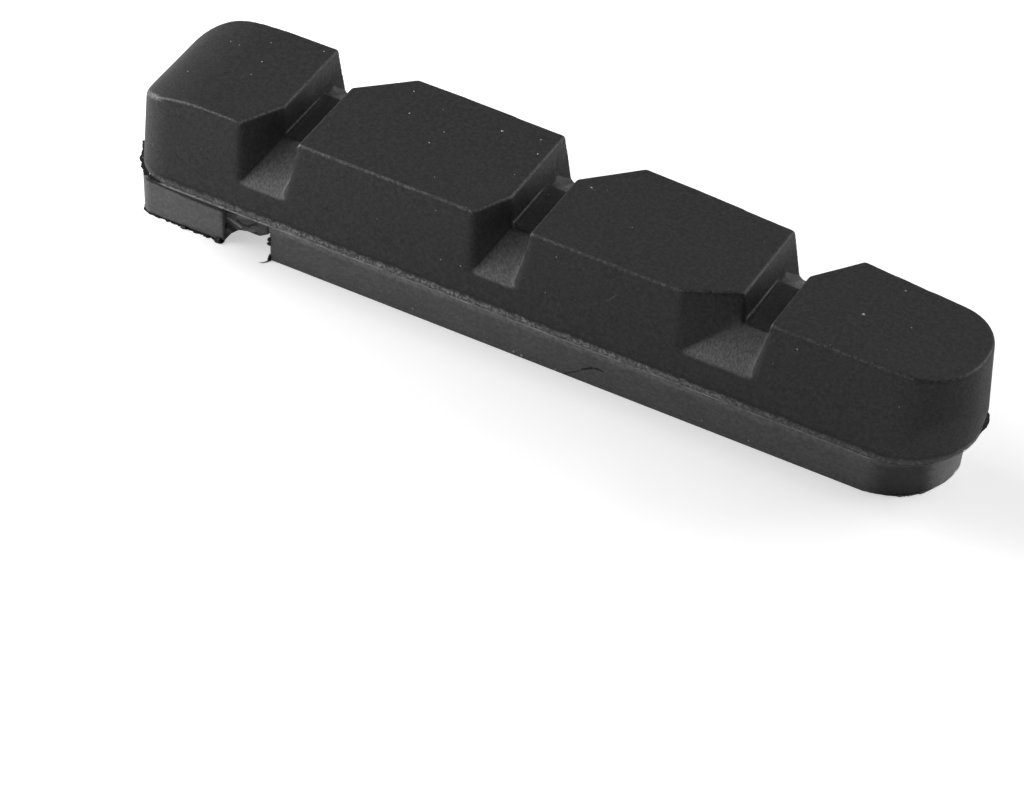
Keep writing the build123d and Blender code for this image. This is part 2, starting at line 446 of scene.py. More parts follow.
def makeRubber():
    look = rubberLook
    material, tree, shader, place = newMaterial("blackRubber")
    axes = split(tree, place)
    along, up = axes[0], axes[2]
    turnAcross, turnUp = split(tree, addNode(tree, "ShaderNodeNewGeometry").outputs["Normal"])[1:3]
    seam, face = shoulder / mm, padHigh.z / mm
    noseEnd = (padLow.x + padBody["noseLength"]) / mm
    grain = useGroup(tree, grainGroup, Place=place, Pitch=look["grainPitch"], Cloud=look["grainCloud"])

    def faceMark(name):
        return addNode(tree, "ShaderNodeAttribute", attribute_name=name).outputs["Fac"]

    def speckled(pitch, cover, weakest):
        mask = useGroup(tree, speckleGroup, Place=place, Pitch=pitch, Cover=cover)["Mask"]
        return number(tree, "MULTIPLY_ADD", mask, 1 - weakest, weakest)

    def streaks(perMm, **settings):
        return noise(tree, vector(tree, "MULTIPLY", place, perMm), 1.0, **settings)

    # tones of the block, the flare floors and the rail's upright sides, which are painted lighter as a
    # painted reflection of the bright floor
    dark, light = look["block"]
    mottle = useGroup(tree, grainGroup, Place=place, Pitch=look["mottlePitch"],
                      Cloud=look["mottleCloud"])["Fine"]
    share = look["streakShare"]
    drawn = streaks(look["wallStreaks"])
    mottle = number(tree, "ADD", times(tree, mottle, 1 - share), times(tree, drawn, share))
    colour = blendColour(tree, mottle, grey(dark), grey(light))
    pastNotch = ramp(tree, along, *look["stubEnds"])
    side = blendColour(tree, pastNotch, grey(look["railSide"]), grey(look["stubSide"]))
    # painted shade and painted rim light round the rounded end
    for ends, tone in look["roundEndShadeAndRim"]:
        side = blendColour(tree, ramp(tree, along, *ends), side, grey(tone))
    drawnOut = streaks(look["railStreaks"], detail=3.0, roughness=0.6)
    mottled = times(tree, ramp(tree, mottle, 0.0, 1.0, start=look["railMottle"]),
                    ramp(tree, drawnOut, *look["streakRange"], start=look["railStreak"]))
    colour = blendColour(tree, times(tree, faceMark("railSide"), mottled), colour, side)
    streaky = streaks(look["flareStreaks"], detail=3.0, roughness=0.65)
    dark, light = look["flareFloor"]
    flareTone = blendColour(tree, ramp(tree, streaky, *look["streakRange"]), grey(dark), grey(light))
    inner, outer = look["flareFall"]
    fall = ramp(tree, up, seam + inner, seam + outer, start=look["flareTop"])
    colour = blendColour(tree, times(tree, faceMark("flareFloor"), fall), colour, flareTone)
    amount, tone = look["patches"]
    colour = blendColour(tree, times(tree, grain["Patchy"], amount), colour, grey(tone))

    # chafed edges of the block: real wear and a painted highlight, strongest on edges facing the front and
    # weaker towards the round end, then a painted glint along the groove floors
    low, high = look["edgeBand"]
    nearFace = ramp(tree, up, face - low, face - high)
    low, high = look["noseBand"]
    onNose = times(tree, ramp(tree, along, noseEnd + look["noseFade"], noseEnd),
                   ramp(tree, up, face - low, face - high))
    worn = times(tree, faceMark("wornEdge"), number(tree, "MAXIMUM", nearFace, onNose),
                 ramp(tree, turnAcross, *look["edgeTurn"], start=look["edgeBack"]),
                 speckled(*look["edgeSpeckle"]))
    brighter = ramp(tree, along, padHigh.x / mm, padLow.x / mm, start=look["edgeRoundEnd"])
    colour = blendColour(tree, times(tree, worn, brighter), colour, grey(look["edgeWearAndHighlight"]))
    glint = times(tree, faceMark("grooveGlint"), speckled(*look["glintSpeckle"]))
    colour = blendColour(tree, glint, colour, grey(look["glint"]))

    # grainy band at the parting line, under a painted crease shade, and the rail's side just below it painted
    # lighter over the overhang's shade
    above = number(tree, "SUBTRACT", up, seam)
    perMm, height = look["seamWave"]
    wavy = number(tree, "MULTIPLY_ADD", noise(tree, place, perMm), height, look["seamBand"] - height / 2)
    past = number(tree, "SUBTRACT", above, wavy)
    # painted shade in the crease
    creaseShade = times(tree, ramp(tree, past, *look["creaseAbove"]), ramp(tree, past, *look["creaseBelow"]))
    amount, tone = look["creaseShade"]
    colour = blendColour(tree, times(tree, creaseShade, amount), colour, grey(tone))
    band = times(tree, ramp(tree, past, *look["seamEdge"]), ramp(tree, above, *look["seamFoot"]),
                 ramp(tree, turnUp, *look["seamTurn"]))
    low, high, left = look["seamNose"]
    fading = times(tree, ramp(tree, along, noseEnd + low, noseEnd + high, start=left),
                   ramp(tree, along, *look["seamRoundEnd"]))
    clumps = noise(tree, place, look["seamClump"], detail=3.0)
    clumped = times(tree, fading, ramp(tree, clumps, *look["clumpRange"]))
    dull = times(tree, band, ramp(tree, fading, 0.0, 1.0, *look["seamDullShare"]))
    colour = blendColour(tree, dull, colour, grey(look["seamDull"]))
    # painted light on the rail's side under the seam
    under = times(tree, ramp(tree, up, *look["underHeight"]), ramp(tree, along, *look["underStart"]),
                  faceMark("railSide"), fading, speckled(*look["underSpeckle"]))
    colour = blendColour(tree, under, colour, grey(look["underSeamLight"]))
    grains = times(tree, clumped, speckled(*look["seamSpeckle"]))
    paleTone = grey(look["seamPale"], look["seamWarmth"])
    colour = blendColour(tree, times(tree, band, grains), colour, paleTone)

    for start, end, width, tone in look["strokes"]:
        mark = useGroup(tree, strokeGroup, Place=place, Start=start, End=end, Width=width)["Mask"]
        colour = blendColour(tree, mark, colour, grey(tone))
    feed(tree, shader.inputs["Base Color"], colour)

    rough = ramp(tree, grain["Fine"], 0.0, 1.0, *look["roughness"])
    rough = number(tree, "MULTIPLY_ADD", faceMark("grooveCorner"), look["cornerRoughness"], rough,
                   clamp=True)
    feed(tree, shader.inputs["Roughness"], rough)
    shader.inputs["Specular IOR Level"].default_value = look["specular"]
    shader.inputs["Sheen Weight"].default_value = look["sheen"]
    shader.inputs["Sheen Roughness"].default_value = look["sheenRoughness"]
    addBump(tree, shader, grain["Height"], look["bumpStrength"], look["bumpHeight"])
    return material


def makeSoftTree():
    tree, given, out = newTree("softenEdges", [
        ("Mesh Passes", "Int"), ("Passes", "Int"), ("Flare Passes", "Int"), ("Soft From", "Float"),
        ("Soft Above", "Float"), ("Face", "Float"), ("Front", "Float"), ("Back Side", "Float"),
        ("Front Side", "Float"), ("Back Share", "Float")])
    place = addNode(tree, "GeometryNodeInputPosition").outputs[0]
    across, up = split(tree, place)[1:3]
    onBlock = ramp(tree, up, given["Soft From"], given["Soft Above"])
    inFlare = times(tree, number(tree, "LESS_THAN", up, given["Face"]),
                    number(tree, "LESS_THAN", across, given["Front"]))
    forward = ramp(tree, across, given["Back Side"], given["Front Side"], start=given["Back Share"])
    soft = given["Geometry"]
    for label, weight in (("Mesh Passes", 1.0), ("Passes", times(tree, onBlock, forward)),
                          ("Flare Passes", times(tree, onBlock, inFlare))):
        blur = addNode(tree, "GeometryNodeBlurAttribute", data_type="FLOAT_VECTOR")
        feed(tree, blur.inputs["Iterations"], given[label])
        feed(tree, blur.inputs["Weight"], weight)
        values = [socket for socket in blur.inputs if socket.name == "Value" and socket.enabled]
        feed(tree, values[0], place)
        moved = [socket for socket in blur.outputs if socket.enabled][0]
        soft = geoStep(tree, "GeometryNodeSetPosition", {"Geometry": soft, "Position": moved})["Geometry"]
    feed(tree, out["Geometry"], soft)
    return tree


# back mouths: shallower towards the wall than the front ones, with a round foot at their plain wall
backMouth = {
    "depthShare": 0.58,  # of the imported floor's fall
    "footRadius": 1.1 * mm,
    "margin": 0.15 * mm,
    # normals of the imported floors, and of the outer wall, which stays
    "floorAcross": 0.3,
    "floorUp": (0.4, 0.95),
    "floorAlong": 0.2,
    "wallAcross": 0.93,
}


def mouthFloors(shape):
    floors = []
    least, most = backMouth["floorUp"]
    for face in shape.faces:
        turn, middle = face.normal, face.calc_center_median()
        outwards = turn.y > backMouth["floorAcross"] and abs(turn.x) < backMouth["floorAlong"]
        atBack = middle.y > 0 and shoulder < middle.z < padHigh.z - padBody["flareTop"]
        if outwards and least < turn.z < most and atBack:
            corners = [corner.co for corner in face.verts]
            inner = max(corners, key=lambda corner: corner.z)
            floors.append({
                "Wall X": min(corner.x for corner in corners),
                "End X": max(corner.x for corner in corners),
                "Inner Y": inner.y, "Inner Z": inner.z, "Slope": -turn.y / turn.z})
    return floors


def makeMouthTree():
    tree, given, out = newTree("raiseMouth", [
        (label, "Float") for label in
        ("Wall X", "End X", "Inner Y", "Inner Z", "Slope", "Share", "Radius", "Margin", "Wall Across")])
    along, across, up = split(tree, addNode(tree, "GeometryNodeInputPosition").outputs[0])
    outward = number(tree, "SUBTRACT", across, given["Inner Y"])
    fall = times(tree, outward, given["Slope"])
    packed = number(tree, "ADD", given["Inner Z"], fall)
    raised = number(tree, "MULTIPLY_ADD", fall, given["Share"], given["Inner Z"])
    # quarter round at the foot of the plain wall, growing from nothing at the inner end
    fromWall = number(tree, "DIVIDE", number(tree, "SUBTRACT", along, given["Wall X"]), given["Radius"])
    near = number(tree, "SUBTRACT", 1.0, fromWall, clamp=True)
    curve = number(tree, "SQRT", number(tree, "SUBTRACT", 1.0, times(tree, near, near)))
    radius = number(tree, "MINIMUM", given["Radius"], outward)
    raised = number(tree, "MULTIPLY_ADD", number(tree, "SUBTRACT", 1.0, curve), radius, raised)
    turnAcross = split(tree, addNode(tree, "GeometryNodeInputNormal").outputs[0])[1]
    inside = number(tree, "GREATER_THAN", outward, 0.0)
    for test in (("LESS_THAN", turnAcross, given["Wall Across"]),
                 ("GREATER_THAN", along, number(tree, "SUBTRACT", given["Wall X"], given["Radius"])),
                 ("LESS_THAN", along, number(tree, "ADD", given["End X"], given["Margin"])),
                 ("GREATER_THAN", up, number(tree, "SUBTRACT", packed, given["Margin"])),
                 ("LESS_THAN", up, raised)):
        inside = times(tree, inside, number(tree, *test))
    lift = geoStep(tree, "ShaderNodeCombineXYZ", {"Z": number(tree, "SUBTRACT", raised, up)})["Vector"]
    moved = geoStep(tree, "GeometryNodeSetPosition", {
        "Geometry": given["Geometry"], "Selection": inside, "Offset": lift})["Geometry"]
    feed(tree, out["Geometry"], moved)
    return tree


def fade(value, low, high):
    share = min(1.0, max(0.0, (value - low) / (high - low)))
    return share * share * (3 - 2 * share)


# where the pad's flare floors are pale, its rail sides painted lighter, its edges chafed and painted with
# highlights, and its groove corners dull or given a painted glint: ranges of place and of the normal's parts
padMarks = {
    "belowShoulder": 0.1 * mm,
    "railUp": (0.7, 0.4),
    "flareSoft": 0.5 * mm,
    "floorUp": ((0.15, 0.42), (0.94, 0.87)),
    "floorAlong": (0.42, 0.2),
    "floorAcross": (0.3, 0.4),
    "cornerUp": ((0.1, 0.2), (0.99, 0.97)),
    "cornerAcross": (0.2, 0.1),
    "cornerBack": (1 * mm, 2 * mm),
    "worn": (0.2, 1.0),
    "glintAlong": (0.1, 0.3),
    "glintUp": 0.55,
    "glintSpread": (0.2, 0.06),
    "glintFront": (1.9 * mm, 0.2 * mm),
}


def markPad(mesh, surface):
    names = ("flareFloor", "wornEdge", "railSide", "grooveCorner", "grooveGlint")
    for name in names:
        mesh.attributes.new(name, "FLOAT", "POINT")
    marks = {name: mesh.attributes[name].data for name in names}
    limits = padMarks
    nose = padLow.x + padBody["noseLength"]
    lastFlare = padHigh.x - padBody["roundLength"]
    flareTop = padHigh.z - padBody["flareTop"]

    def between(value, label):
        rise, fall = limits[label]
        return fade(value, *rise) * fade(value, *fall)

    for vertex in mesh.vertices:
        place, turn, spot = vertex.co, vertex.normal, vertex.index
        if place.z < shoulder - limits["belowShoulder"]:
            # the rail's upright sides, which are painted lighter
            marks["railSide"][spot].value = fade(abs(turn.z), *limits["railUp"])
            continue
        low = fade(place.z, flareTop + limits["flareSoft"], flareTop)
        sloped = between(turn.z, "floorUp") * fade(abs(turn.x), *limits["floorAlong"])
        sloped *= fade(abs(turn.y), *limits["floorAcross"])
        marks["flareFloor"][spot].value = low * sloped if place.x < lastFlare else 0.0
        bent = low * between(turn.z, "cornerUp") * fade(abs(turn.y), *limits["cornerAcross"])
        bent = bent if place.x > nose else 0.0
        nearest, outward = surface.find_nearest(place)[:2]
        # rounded-off edges, which get the wear and the painted highlight
        worn = fade((nearest - place).dot(outward) / padBody["wornDepth"], *limits["worn"])
        marks["wornEdge"][spot].value = worn
        marks["grooveCorner"][spot].value = max(bent, worn * low * fade(place.y, *limits["cornerBack"]))
        glint = fade(turn.x, *limits["glintAlong"])
        glint *= fade(abs(turn.z - limits["glintUp"]), *limits["glintSpread"])
        marks["grooveGlint"][spot].value = bent * glint * fade(place.y, *limits["glintFront"])


def makePadBody(shape, material):
    mesh = bpy.data.meshes.new("padBody")
    shape.to_mesh(mesh)
    piece = linkObject("padBody", mesh)
    fine = piece.modifiers.new("fineMesh", "REMESH")
    fine.mode = "VOXEL"
    fine.voxel_size = padBody["meshPitch"]
    mouthTree = makeMouthTree()
    floors = mouthFloors(shape)
    for floor in floors:
        addTree(piece, mouthTree, dict(floor, **{
            "Share": backMouth["depthShare"], "Radius": backMouth["footRadius"],
            "Margin": backMouth["margin"], "Wall Across": backMouth["wallAcross"]}))
    print("back mouths found:", len(floors))
    addTree(piece, makeSoftTree(), {
        "Mesh Passes": padBody["meshPasses"], "Passes": padBody["softPasses"],
        "Flare Passes": padBody["flarePasses"],
        "Soft From": shoulder + padBody["softFrom"][0], "Soft Above": shoulder + padBody["softFrom"][1],
        "Face": padHigh.z - padBody["faceBand"], "Front": padLow.y + padBody["flareDepth"],
        "Back Side": padBody["softFront"][0], "Front Side": padBody["softFront"][1],
        "Back Share": padBody["softBack"]})
    thin = piece.modifiers.new("fewerFaces", "DECIMATE")
    thin.ratio = padBody["keptFaces"]
    mesh = bakeModifiers(piece)
    mesh.materials.clear()
    mesh.materials.append(material)
    mesh.shade_smooth()
    markPad(mesh, BVHTree.FromBMesh(shape))
    even = piece.modifiers.new("evenNormals", "WEIGHTED_NORMAL")
    even.weight = padBody["normalWeight"]
    bakeModifiers(piece)
    ridePad(piece)
    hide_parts("brake_pad")
    return piece


pad = makePadBody(padShape, makeRubber())


# crumbs, lumps and specks: balls pushed in and out, then stretched and turned
crumb = {
    "grain": 1.3,
    "push": 1.8,
    "shapes": {"crumb": 3.0, "speck": 8.0, "lump": 5.0},  # places in the noise
    # limits of the random draws
    "stray": ((-1, -1, -0.6), (1, 1, 1)),
    "stretch": ((0.7, 0.5, 0.3), (1.6, 1.0, 0.8)),
    "turn": ((-0.5, -0.5, -3.1), (0.5, 0.5, 3.1)),
    "speckStretch": ((0.7, 0.5, 0.35), (1.5, 1.0, 0.6)),
    "speckPower": 4.0,  # most specks are small
}


def crumbShape(tree, name):
    ball = geoStep(tree, "GeometryNodeMeshIcoSphere", {"Radius": 1.0, "Subdivisions": 1})["Mesh"]
    place = addNode(tree, "GeometryNodeInputPosition").outputs[0]
    shifted = vector(tree, "ADD", place, (crumb["shapes"][name], 0.0, 0.0))
    wobble = noise(tree, shifted, crumb["grain"])
    share = number(tree, "MULTIPLY_ADD", wobble, crumb["push"], -crumb["push"] / 2)
    push = vector(tree, "SCALE", place, share)
    return geoStep(tree, "GeometryNodeSetPosition", {"Geometry": ball, "Offset": push})["Geometry"]


def readAttribute(tree, name, kind):
    return geoStep(tree, "GeometryNodeInputNamedAttribute", {"Name": name}, data_type=kind)["Attribute"]


def endTree(tree, out, made, material):
    made = geoStep(tree, "GeometryNodeRealizeInstances", {"Geometry": made})["Geometry"]
    made = geoStep(tree, "GeometryNodeSetMaterial", {"Geometry": made, "Material": material})["Geometry"]
    feed(tree, out["Geometry"], made)
    return tree


def makeFinTree():
    tree, given, out = newTree("flashFin", [
        ("Spacing", "Float"), ("Thickness", "Float"), ("Ragged", "Float"), ("Rise", "Float"),
        ("Drop", "Float"), ("Narrowest", "Float"), ("Material", "Material")])
    line = geoStep(tree, "GeometryNodeMeshToCurve", {"Mesh": given["Geometry"]})["Curve"]
    line = geoStep(tree, "GeometryNodeResampleCurve", {"Curve": line, "Length": given["Spacing"]},
                   mode="LENGTH")["Curve"]
    line = geoStep(tree, "GeometryNodeSetCurveNormal", {"Curve": line}, mode="Z_UP")["Curve"]
    place = addNode(tree, "GeometryNodeInputPosition").outputs[0]
    perRagged = number(tree, "DIVIDE", 1.0, given["Ragged"])
    grain = noise(tree, place, perRagged, detail=4.0, roughness=0.75)
    width = times(tree, readAttribute(tree, "reach", "FLOAT"),
                  ramp(tree, grain, *effects["finRange"], start=given["Narrowest"]))
    climb = number(tree, "SUBTRACT", times(tree, grain, given["Rise"]), given["Drop"])
    lift = geoStep(tree, "ShaderNodeCombineXYZ", {"Z": climb})["Vector"]
    line = geoStep(tree, "GeometryNodeSetPosition", {"Geometry": line, "Offset": lift})["Geometry"]
    section = geoStep(tree, "GeometryNodeCurvePrimitiveQuadrilateral",
                      {"Width": 2.0, "Height": given["Thickness"]}, mode="RECTANGLE")["Curve"]
    fin = geoStep(tree, "GeometryNodeCurveToMesh",
                  {"Curve": line, "Profile Curve": section, "Scale": width})["Mesh"]
    fin = geoStep(tree, "GeometryNodeSetShadeSmooth", {"Geometry": fin, "Shade Smooth": False})["Geometry"]
    return endTree(tree, out, fin, given["Material"])


def makeCrumbTree():
    tree, given, out = newTree("flashCrumbs", [
        ("Spacing", "Float"), ("Smallest", "Float"), ("Largest", "Float"), ("Scatter", "Float"),
        ("Chance", "Float"), ("Seed", "Int"), ("Material", "Material")])
    line = geoStep(tree, "GeometryNodeMeshToCurve", {"Mesh": given["Geometry"]})["Curve"]
    points = geoStep(tree, "GeometryNodeCurveToPoints", {"Curve": line, "Length": given["Spacing"]},
                     mode="LENGTH")["Points"]
    stray = randomValue(tree, "FLOAT_VECTOR", *crumb["stray"], given["Seed"])
    stray = vector(tree, "SCALE", stray, given["Scatter"])
    points = geoStep(tree, "GeometryNodeSetPosition", {"Geometry": points, "Offset": stray})["Geometry"]
    size = randomValue(tree, "FLOAT", given["Smallest"], given["Largest"], given["Seed"])
    stretch = randomValue(tree, "FLOAT_VECTOR", *crumb["stretch"], given["Seed"])
    turn = randomValue(tree, "FLOAT_VECTOR", *crumb["turn"], given["Seed"])
    crumbs = geoStep(tree, "GeometryNodeInstanceOnPoints", {
        "Points": points, "Selection": randomValue(tree, "BOOLEAN", given["Chance"], given["Seed"]),
        "Instance": crumbShape(tree, "crumb"), "Rotation": turn,
        "Scale": vector(tree, "SCALE", stretch, size)})["Instances"]
    return endTree(tree, out, crumbs, given["Material"])


def makeSpeckTree():
    tree, given, out = newTree("dustSpecks", [
        ("Density", "Float"), ("Smallest", "Float"), ("Largest", "Float"), ("Seed", "Int"),
        ("Material", "Material")])
    spread = geoStep(tree, "GeometryNodeDistributePointsOnFaces", {
        "Mesh": given["Geometry"], "Density": given["Density"], "Seed": given["Seed"]})
    draw = randomValue(tree, "FLOAT", 0.0, 1.0, given["Seed"])
    draw = number(tree, "POWER", draw, crumb["speckPower"])
    size = ramp(tree, draw, 0.0, 1.0, given["Smallest"], given["Largest"])
    stretch = randomValue(tree, "FLOAT_VECTOR", *crumb["speckStretch"], given["Seed"])
    specks = geoStep(tree, "GeometryNodeInstanceOnPoints", {
        "Points": spread["Points"], "Instance": crumbShape(tree, "speck"), "Rotation": spread["Rotation"],
        "Scale": vector(tree, "SCALE", stretch, size)})["Instances"]
    return endTree(tree, out, specks, given["Material"])


def makeLumpTree():
    tree, given, out = newTree("placedLumps", [("Material", "Material")])
    points = geoStep(tree, "GeometryNodeMeshToPoints", {"Mesh": given["Geometry"]})["Points"]
    size, turn = (readAttribute(tree, label, "FLOAT_VECTOR") for label in ("size", "turn"))
    lumps = geoStep(tree, "GeometryNodeInstanceOnPoints", {
        "Points": points, "Instance": crumbShape(tree, "lump"), "Rotation": turn, "Scale": size})["Instances"]
    return endTree(tree, out, lumps, given["Material"])


finTree = makeFinTree()
crumbTree = makeCrumbTree()
speckTree = makeSpeckTree()
lumpTree = makeLumpTree()


# paths along the moulding's edges
edgeSearch = {
    "gap": 0.02 * mm,
    "upright": 0.6,  # normals of walls point up or down less than this
}


def edgesAtHeight(shape, height):
    found = []
    for edge in shape.edges:
        if all(abs(end.co.z - height) < edgeSearch["gap"] for end in edge.verts):
            walls = [face for face in edge.link_faces if abs(face.normal.z) < edgeSearch["upright"]]
            if any(face.calc_center_median().z > height for face in walls):
                found.append(edge)
    return found


def pathMesh(name, edges, keep, reachAt):
    kept = [edge for edge in edges if all(keep(end.co / mm) for end in edge.verts)]
    ends = sorted({end for edge in kept for end in edge.verts}, key=lambda end: end.index)
    order = {end: place for place, end in enumerate(ends)}
    mesh = bpy.data.meshes.new(name)
    mesh.from_pydata([end.co for end in ends], [[order[end] for end in edge.verts] for edge in kept], [])
    reach = mesh.attributes.new("reach", "FLOAT", "POINT")
    for place, end in enumerate(ends):
        reach.data[place].value = reachAt(end.co / mm) * mm
    return mesh


def lineMesh(name, line):
    mesh = bpy.data.meshes.new(name)
    links = [(step, step + 1) for step in range(len(line) - 1)]
    mesh.from_pydata([Vector(point[:3]) * mm for point in line], links, [])
    reach = mesh.attributes.new("reach", "FLOAT", "POINT")
    for place, point in enumerate(line):
        reach.data[place].value = point[3] * mm
    return mesh


def lumpMesh(name, lumps):
    mesh = bpy.data.meshes.new(name)
    mesh.from_pydata([Vector(place) * mm for place, size, turn in lumps], [], [])
    for label, column in (("size", 1), ("turn", 2)):
        stored = mesh.attributes.new(label, "FLOAT_VECTOR", "POINT")
        for place, lump in enumerate(lumps):
            stored.data[place].vector = Vector(lump[column]) * (mm if label == "size" else 1)
    return mesh


# torn rubber, darker or paler by piece
tornLook = {
    "grainPitch": 0.1,
    "cloud": 2.0,
    "patchGain": 2.2,  # patches are this much lighter
    "warmth": 0.02,
    "palePitch": 0.16,
    "roughness": (0.55, 0.8),
    "specular": 0.3,
    "bumpStrength": 0.6,
    "bumpHeight": 0.02 * mm,
}


def makeTornRubber(name, tone, paleTone, cover, pitch=tornLook["palePitch"]):
    look = tornLook
    material, tree, shader, place = newMaterial(name)
    grain = useGroup(tree, grainGroup, Place=place, Pitch=look["grainPitch"], Cloud=look["cloud"])
    pale = useGroup(tree, speckleGroup, Place=place, Pitch=pitch, Cover=cover)["Mask"]
    colour = blendColour(tree, grain["Patchy"], grey(tone), grey(tone * look["patchGain"]))
    colour = blendColour(tree, pale, colour, grey(paleTone, look["warmth"]))
    feed(tree, shader.inputs["Base Color"], colour)
    feed(tree, shader.inputs["Roughness"], ramp(tree, grain["Fine"], 0.0, 1.0, *look["roughness"]))
    shader.inputs["Specular IOR Level"].default_value = look["specular"]
    addBump(tree, shader, grain["Height"], look["bumpStrength"], look["bumpHeight"])
    return material


def growFin(name, mesh, settings, material):
    values = pick(settings, "spacing", "thickness", "ragged", "rise", "drop", "narrowest")
    growPiece(name, mesh, finTree, values, material)


# flash along the parting line, where the block meets the rail
seamFlash = {
    "spacing": 0.11 * mm,
    "thickness": 0.4,
    "ragged": 0.5 * mm,
    "rise": 0.24 * mm,
    "drop": 0.12 * mm,
    "reach": 0.15,
    "narrowest": 0.5,
    "roundEndShare": 0.25,  # the fin is narrower at the round end
    "roundEnd": (12, 28),
    "rubber": (0.16, 0.32, 0.6, 0.3),  # tone, pale tone, cover, pitch
}
flaps = {
    "lift": 0.05,  # above the shoulder
    "pale": (0.1, 0.35, 0.25),  # pale tone, cover, pitch
    "narrowest": {"roundFlap": 0.85, "squareFlap": 0.4},
    "tone": {"roundFlap": 0.02, "squareFlap": 0.004},
    # place and reach along the wall
    "lines": {
        "roundFlap": [
            (34.4, -0.1, 0.0), (34.32, 0.79, 0.12), (34.2, 1.35, 0.36), (34.02, 1.9, 0.44),
            (33.79, 2.44, 0.47), (33.46, 2.75, 0.36), (33.1, 3.03, 0.1)],
        "squareFlap": [
            (-35.0, -2.0, 0.15), (-35.0, -2.5, 0.75), (-34.93, -3.2, 0.62), (-34.79, -3.7, 0.42),
            (-34.5, -4.3, 0.36), (-34.17, -4.8, 0.32), (-33.74, -5.26, 0.42), (-33.2, -5.66, 0.52),
            (-32.6, -5.95, 0.42), (-31.9, -6.14, 0.1)],
    },
}


def flashReach(place):
    roundEnd = fade(place.x, *seamFlash["roundEnd"])
    return seamFlash["reach"] * (1 - roundEnd + roundEnd * seamFlash["roundEndShare"])


seamEdges = edgesAtHeight(padShape, shoulder)
seamPath = pathMesh("seamPath", seamEdges, lambda place: True, flashReach)
growFin("seamFlash", seamPath, seamFlash, makeTornRubber("flashRubber", *seamFlash["rubber"]))
for name, line in flaps["lines"].items():
    flapLine = [(x, y, shoulder / mm + flaps["lift"], reach) for x, y, reach in line]
    flapSettings = dict(seamFlash, rise=0.0, drop=0.0, narrowest=flaps["narrowest"][name])
    growFin(name, lineMesh(name, flapLine), flapSettings,
            makeTornRubber(name, flaps["tone"][name], *flaps["pale"]))


# crumbs that cling to the seam
seamCrumbs = {
    "spacing": 0.22 * mm,
    "smallest": 0.04 * mm,
    "largest": 0.13 * mm,
    "scatter": 0.14 * mm,
    "chance": 0.6,
    "seed": 11,
    "end": 20,  # none nearer to the round end
    "rubber": (0.13, 0.35, 0.7, 0.3),
}
crumbPath = pathMesh("crumbPath", seamEdges, lambda place: place.x < seamCrumbs["end"], flashReach)
crumbValues = pick(seamCrumbs, "spacing", "smallest", "largest", "scatter", "chance", "seed")
crumbRubber = makeTornRubber("crumbRubber", *seamCrumbs["rubber"])
growPiece("seamCrumbs", crumbPath, crumbTree, crumbValues, crumbRubber)


# tatters along the rail's foot, at the stub and round the rounded end
footTatters = {
    "spacing": 0.09 * mm,
    "thickness": 0.6,
    "ragged": 0.5 * mm,
    "rise": 0.1 * mm,
    "drop": 0.0,
    "narrowest": 0.2,
    "reach": 0.02,
    "pale": (0.06, 0.3),  # pale tone, cover
    "stubTone": 0.008,
    "stubEnd": -26,
    "stubFront": -3.4,
    "squareEnd": -34,
    "roundTone": 0.1,
    "roundStart": 29,
    "roundBack": 2.5,
    # place, spread and extra reach
    "lumps": [
        ((-34.4, -3.9), 0.6, 0.2), ((-31.2, -4.2), 2.6, 0.17), ((-30.8, -4.2), 0.3, 0.12),
        ((-28.1, -4.2), 0.6, 0.3), ((-27.5, -4.2), 0.3, 0.2), ((30.5, -2.9), 0.8, 0.24),
        ((31.4, -1.9), 0.5, 0.14)],
}


def footReach(place):
    reach = footTatters["reach"]
    for (x, y), spread, extra in footTatters["lumps"]:
        away = math.hypot(place.x - x, place.y - y) / spread
        reach += extra * math.exp(-away * away)
    return reach


def onStub(place):
    seen = place.y < footTatters["stubFront"] or place.x < footTatters["squareEnd"]
    return place.x < footTatters["stubEnd"] and seen


def onRoundEnd(place):
    return place.x > footTatters["roundStart"] and place.y < footTatters["roundBack"]


footEdges = edgesAtHeight(padShape, padLow.z)
for name, isThere, tone in (("stubTatters", onStub, footTatters["stubTone"]),
                            ("roundTatters", onRoundEnd, footTatters["roundTone"])):
    growFin(name, pathMesh(name, footEdges, isThere, footReach), footTatters,
            makeTornRubber(name, tone, *footTatters["pale"]))


# torn bits on the pin notch's wall, and a hair of rubber at its foot
notchBits = {
    "hair": [  # place and half width
        (-23.2, -4.1, 0.06, 0.13), (-23.33, -4.38, 0.05, 0.08),
        (-23.53, -4.68, 0.05, 0.05), (-23.78, -4.83, 0.06, 0.025)],
    # place, half sizes, turn
    "lumps": [
        ((-23.24, -4.28, 2.25), (0.16, 0.14, 0.22), (0.2, 0.0, 0.4)),
        ((-23.26, -4.2, 1.75), (0.2, 0.12, 0.24), (0.0, 0.3, 0.0)),
        ((-23.25, -4.16, 0.3), (0.16, 0.12, 0.34), (0.0, 0.0, 0.3)),
        ((-27.75, -4.26, 0.14), (0.42, 0.26, 0.26), (0.0, 0.2, 0.1)),
        ((-30.85, -4.25, 0.08), (0.34, 0.16, 0.12), (0.0, 0.0, 0.2)),
    ],
    "spacing": 0.08 * mm,
    "thickness": 0.5,
    "ragged": 0.4 * mm,
    "rise": 0.0,
    "drop": 0.0,
    "narrowest": 0.7,
    "rubber": (0.004, 0.03, 0.3),  # tone, pale tone, cover
}
tornRubber = makeTornRubber("tornRubber", *notchBits["rubber"])
growFin("notchHair", lineMesh("notchHair", notchBits["hair"]), notchBits, tornRubber)
growPiece("tornLumps", lumpMesh("tornLumps", notchBits["lumps"]), lumpTree, {}, tornRubber)


